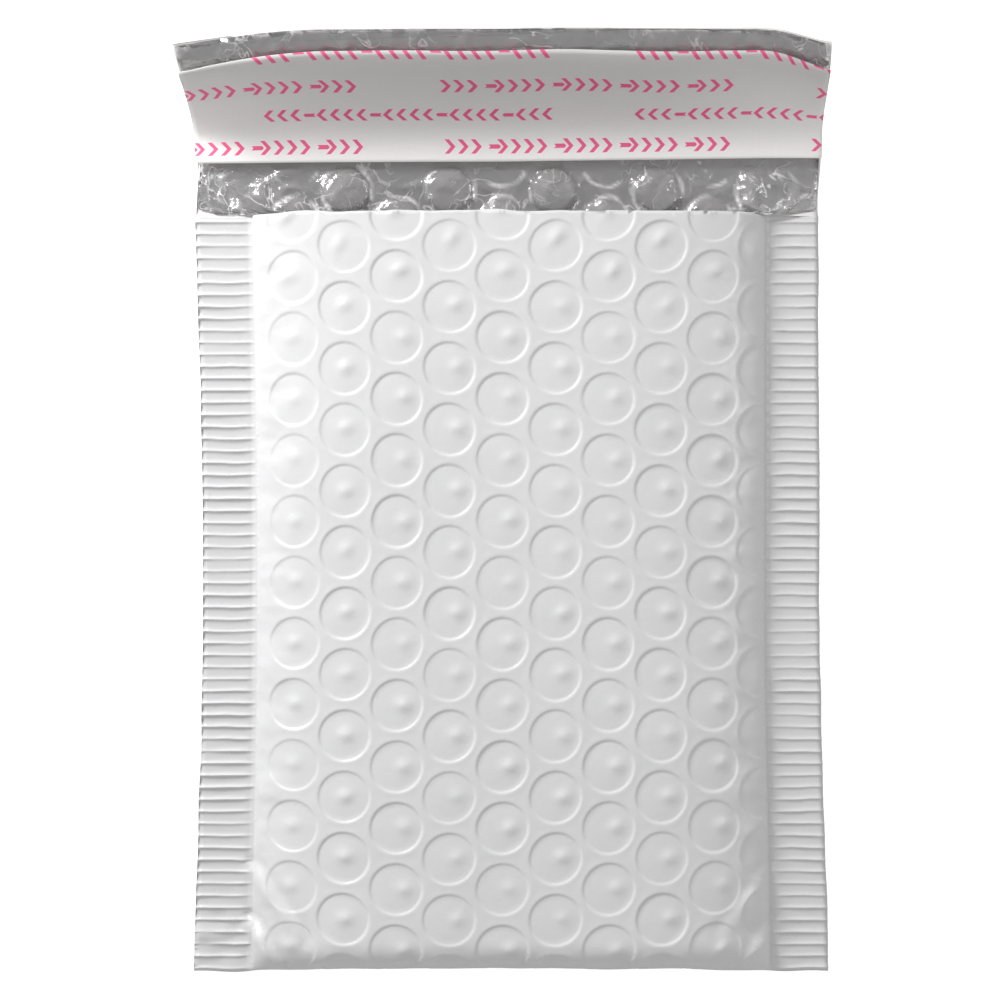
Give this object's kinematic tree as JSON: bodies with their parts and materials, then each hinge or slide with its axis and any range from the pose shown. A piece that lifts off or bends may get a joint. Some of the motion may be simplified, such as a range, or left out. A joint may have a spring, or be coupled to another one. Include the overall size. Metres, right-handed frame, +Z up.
{
  "type": "padded envelope",
  "caption": "Open postal envelope of plastic film lined with bubble film, side-sealed, with its closing flap curled up.",
  "frame": {"origin": "centre of the footprint, on the surface the envelope lies on", "axes": "+X across the envelope, +Y from the bottom fold to the flap, +Z up through the front panel"},
  "size_m": [0.12, 0.176, 0.0194],
  "materials": {
    "outer_film": "white pearl film, grey inside",
    "bubble_lining": "clear glossy bubble film",
    "adhesive_strip": "tacky hot-melt stripe",
    "release_liner": "siliconed paper with pink print"
  },
  "bodies": {
    "root": {"outer_film": "outer_film", "bubble_lining": "bubble_lining", "adhesive_strip": "adhesive_strip", "release_liner": "release_liner"}
  },
  "joints": []
}
